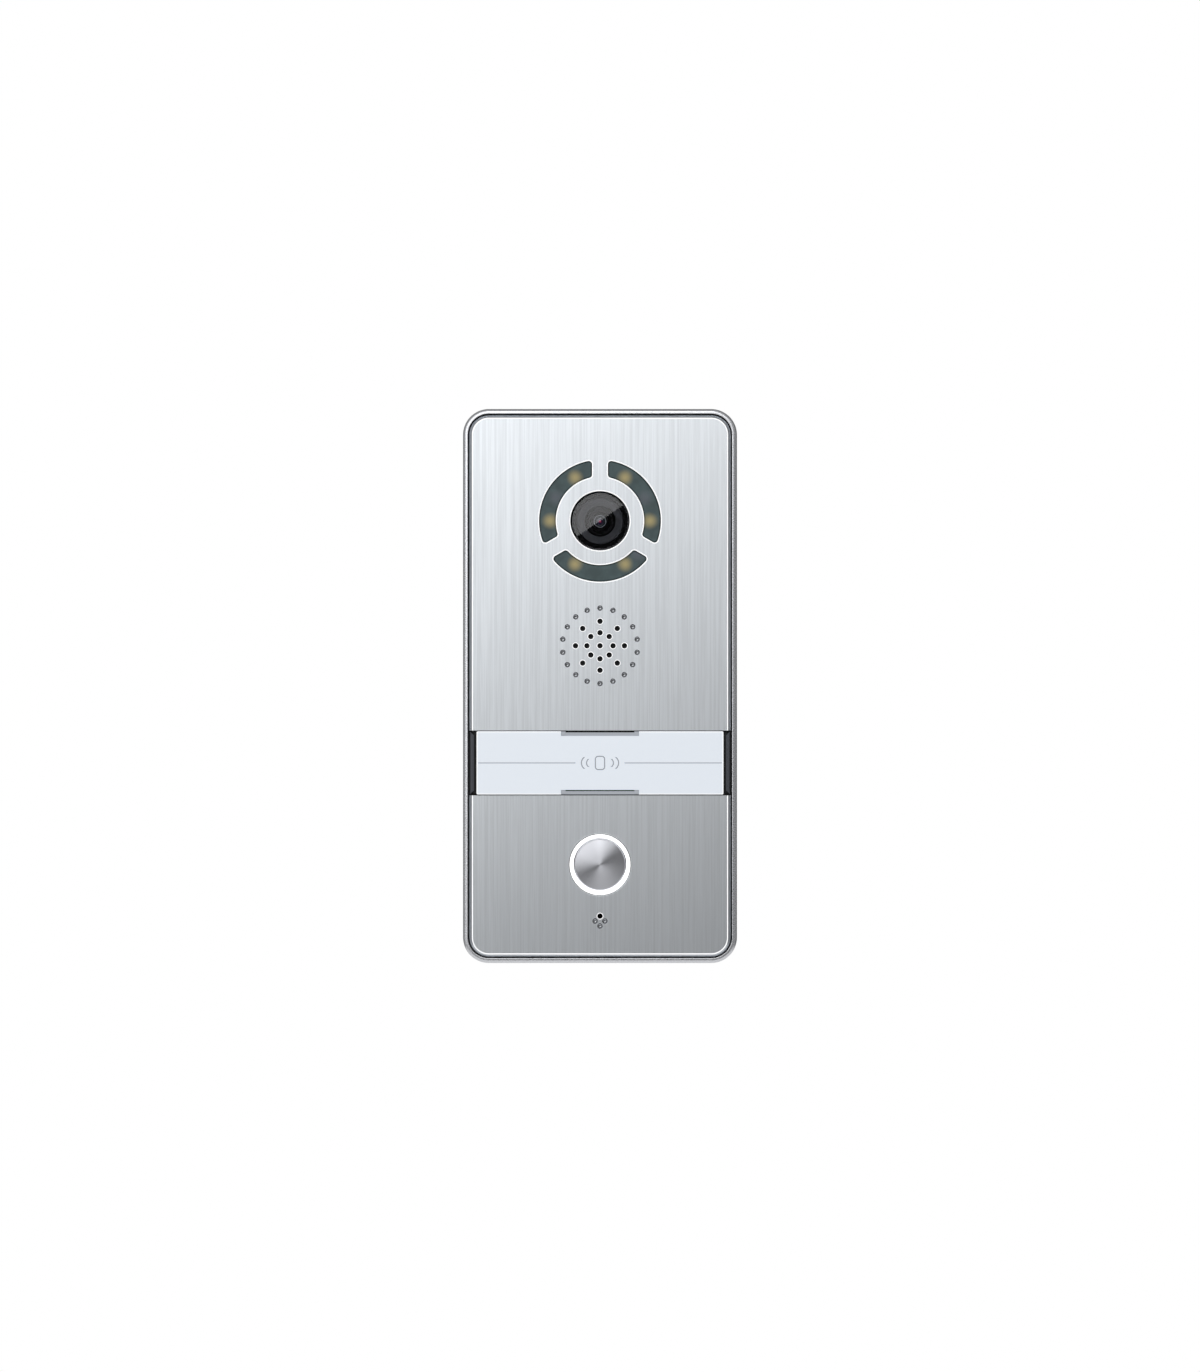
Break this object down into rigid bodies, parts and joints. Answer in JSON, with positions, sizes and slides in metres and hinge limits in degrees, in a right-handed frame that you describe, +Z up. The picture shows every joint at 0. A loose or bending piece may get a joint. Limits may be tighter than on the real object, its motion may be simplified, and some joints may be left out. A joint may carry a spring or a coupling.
{
  "type": "door intercom panel",
  "caption": "Surface-mounted door intercom panel with camera, light windows, speaker, lit nameplate, sprung call button, microphone and wall bracket.",
  "frame": {"origin": "centre of the wall bracket's back face, in the plane of the wall", "axes": "+Z up the wall, +Y into the wall, so the front faces -Y; +X to the right as seen from in front"},
  "size_m": [0.09, 0.0323, 0.182],
  "materials": {
    "silver_paint": "satin silver paint",
    "brushed_plate": "vertically brushed, anodised",
    "black_plastic": "fine matt black",
    "dark_plastic": "lightly textured dark grey",
    "white_plastic": "satin opal white",
    "glow_plastic": "frosted, lit from behind",
    "tinted_plastic": "smoked translucent",
    "dark_glass": "polished, smoked",
    "lens_glass": "coated lens",
    "spun_metal": "spun, anodised",
    "steel": "zinc plated",
    "rubber": "matt",
    "foam": "closed-cell foam",
    "board_green": "green solder mask",
    "board_white": "white solder mask",
    "lamp_yellow": "phosphor lamp chip",
    "lamp_violet": "infrared lamp chip",
    "amber_film": "flexible film",
    "cone_black": "pressed paper pulp",
    "card_paper": "printed card",
    "terminal_green": "moulded",
    "lead_red": "insulated wire"
  },
  "bodies": {
    "housing": {"wall_bracket": "steel", "wall_gasket": "foam", "rear_housing": "dark_plastic", "housing_gasket": "rubber", "front_frame": "silver_paint", "front_chassis": "black_plastic", "upper_front_plate": "brushed_plate", "lower_front_plate": "brushed_plate", "lock_screw": "steel", "housing_screw_1": "steel", "housing_screw_2": "steel", "housing_screw_3": "steel", "housing_screw_4": "steel", "camera_window": "dark_glass", "camera_bezel": "black_plastic", "lens_barrel": "black_plastic", "lens_front_element": "lens_glass", "lens_holder": "dark_plastic", "image_sensor": "dark_glass", "camera_board": "board_green", "camera_ribbon": "amber_film", "light_board": "board_white", "light_window_right": "tinted_plastic", "light_window_left": "tinted_plastic", "light_window_bottom": "tinted_plastic", "fill_light_1": "lamp_yellow", "fill_light_2": "lamp_yellow", "fill_light_3": "lamp_yellow", "fill_light_4": "lamp_yellow", "fill_light_5": "lamp_yellow", "fill_light_6": "lamp_yellow", "infrared_light_1": "lamp_violet", "infrared_light_2": "lamp_violet", "infrared_light_3": "lamp_violet", "speaker_mesh": "black_plastic", "speaker_gasket": "foam", "speaker_basket": "steel", "speaker_cone": "cone_black", "speaker_magnet": "steel", "speaker_lead": "lead_red", "nameplate_light_guide": "glow_plastic", "reader_board": "board_green", "button_light_ring": "glow_plastic", "button_guide": "black_plastic", "button_spring": "steel", "button_switch_body": "black_plastic", "microphone_boot": "rubber", "microphone_capsule": "steel", "main_board": "board_green", "processor_shield": "steel", "terminal_block": "terminal_green", "door_relay": "dark_plastic", "tamper_switch_body": "black_plastic"},
    "nameplate": {"nameplate_cover": "white_plastic", "name_card": "card_paper"},
    "call_button": {"call_button_cap": "spun_metal", "button_stem": "white_plastic", "button_clip": "steel"},
    "button_switch": {"button_switch_actuator": "white_plastic"},
    "tamper": {"tamper_plunger": "white_plastic"}
  },
  "joints": [
    {"name": "call_button_press", "type": "slide", "parent": "housing", "child": "call_button", "axis": [0, 1, 0], "range_m": [0, 0.0012], "stiffness_N_per_m": 1500, "deforming": ["button_spring"]},
    {"name": "button_switch_press", "type": "slide", "parent": "housing", "child": "button_switch", "axis": [0, 1, 0], "range_m": [0, 0.0012]},
    {"name": "tamper_press", "type": "slide", "parent": "housing", "child": "tamper", "axis": [0, -1, 0], "range_m": [0, 0.0025], "stiffness_N_per_m": 200},
    {"name": "nameplate_pull", "type": "slide", "parent": "housing", "child": "nameplate", "axis": [0, -1, 0], "range_m": [0, 0.01]}
  ],
  "couplings": [
    {"joint": "button_switch_press", "follows": "call_button_press", "ratio": 1}
  ]
}
